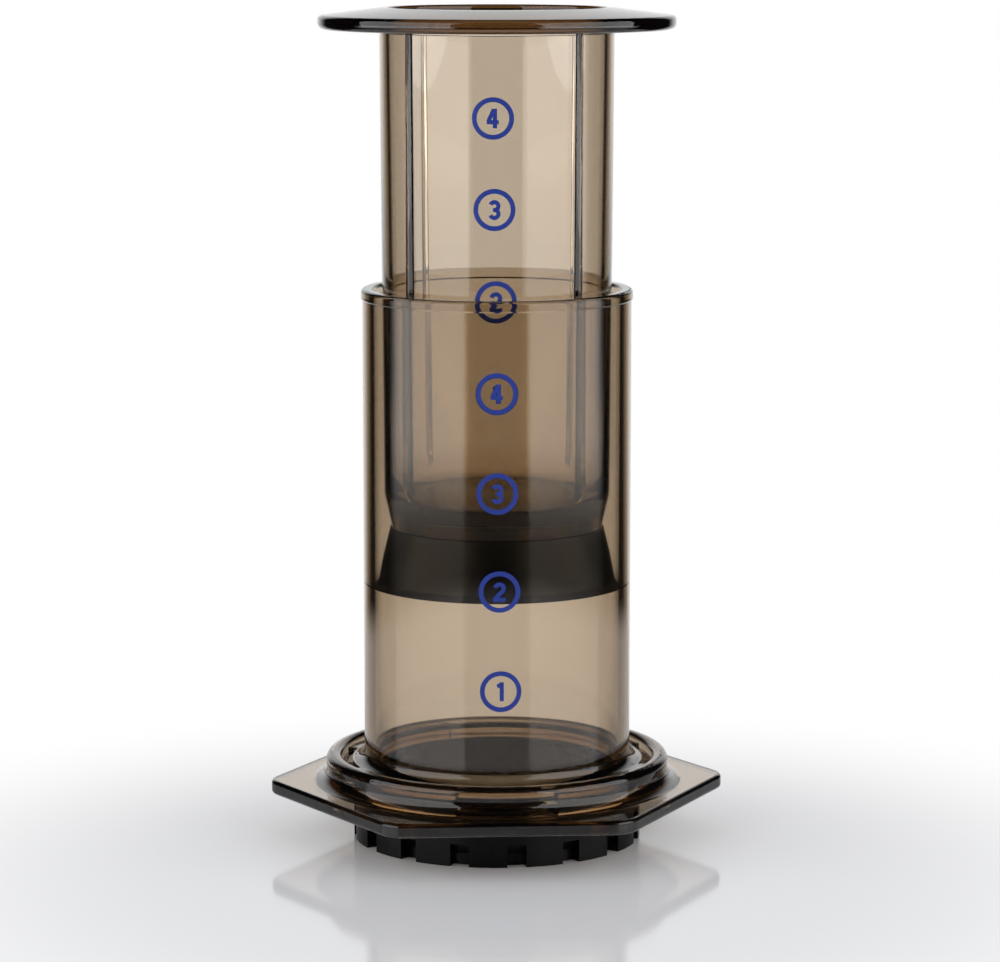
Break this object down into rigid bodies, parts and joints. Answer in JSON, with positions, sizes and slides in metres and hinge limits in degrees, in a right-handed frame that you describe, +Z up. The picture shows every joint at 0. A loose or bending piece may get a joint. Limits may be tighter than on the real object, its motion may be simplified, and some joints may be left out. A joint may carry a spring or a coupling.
{
  "type": "hand-pressed coffee maker",
  "caption": "Clear tube chamber with a six-sided flange, a hollow plunger with a rubber seal and press disc, and a perforated twist-lock filter cap with paper.",
  "frame": {"origin": "centre of the filter cap's foot ring, on the table, on the tube's axis", "axes": "+Z up along the tube's axis, +X towards a point of the six-sided flange, -Y towards the side with the printed marks"},
  "size_m": [0.1124, 0.0992, 0.205],
  "materials": {
    "chamber_plastic": "glossy see-through smoke-brown moulded plastic",
    "plunger_plastic": "glossy see-through smoke-brown moulded plastic",
    "seal_rubber": "soft black moulded rubber, satin",
    "cap_plastic": "black moulded plastic, fine satin",
    "filter_paper": "white crepe filter paper"
  },
  "bodies": {
    "chamber": {"chamber": "chamber_plastic"},
    "cap": {"filter_cap": "cap_plastic", "paper_filter": "filter_paper"},
    "seal": {"plunger_seal": "seal_rubber"},
    "plunger": {"plunger": "plunger_plastic"}
  },
  "joints": [
    {"name": "plunger_slide", "type": "slide", "parent": "chamber", "child": "seal", "axis": [0, 0, 1], "range_m": [-0.0573, 0.088]},
    {"name": "plunger_turn", "type": "hinge", "parent": "seal", "child": "plunger", "pos_m": [0, 0, 0.09], "axis": [0, 0, 1], "continuous": true},
    {"name": "cap_twist", "type": "hinge", "parent": "chamber", "child": "cap", "pos_m": [0, 0, 0], "axis": [0, 0, -1], "range_deg": [0, 55]}
  ]
}
